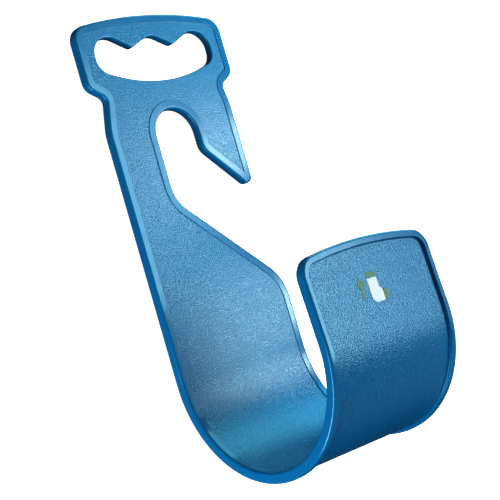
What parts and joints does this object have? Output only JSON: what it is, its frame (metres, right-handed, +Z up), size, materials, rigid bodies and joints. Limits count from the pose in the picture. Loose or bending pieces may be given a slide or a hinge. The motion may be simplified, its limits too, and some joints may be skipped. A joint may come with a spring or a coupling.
{
  "type": "sock aid",
  "caption": "Moulded plastic arm with a grooved finger grip and a side hook, rolled over at its end into an open cradle for putting on socks.",
  "frame": {"origin": "middle of the bounding box, on the plane that the arm's back lies on", "axes": "+X along the arm towards the finger grip, +Y across it away from the hook, +Z up towards the free leg of the cradle"},
  "size_m": [0.2942, 0.118, 0.1324],
  "materials": {
    "blue_plastic": "glossy flat rim round a fine-grained panel",
    "white_ink": "pad-printed ink",
    "green_ink": "pad-printed ink"
  },
  "bodies": {
    "root": {"moulded_body": "blue_plastic", "printed_sock": "white_ink", "printed_accents": "green_ink"}
  },
  "joints": []
}
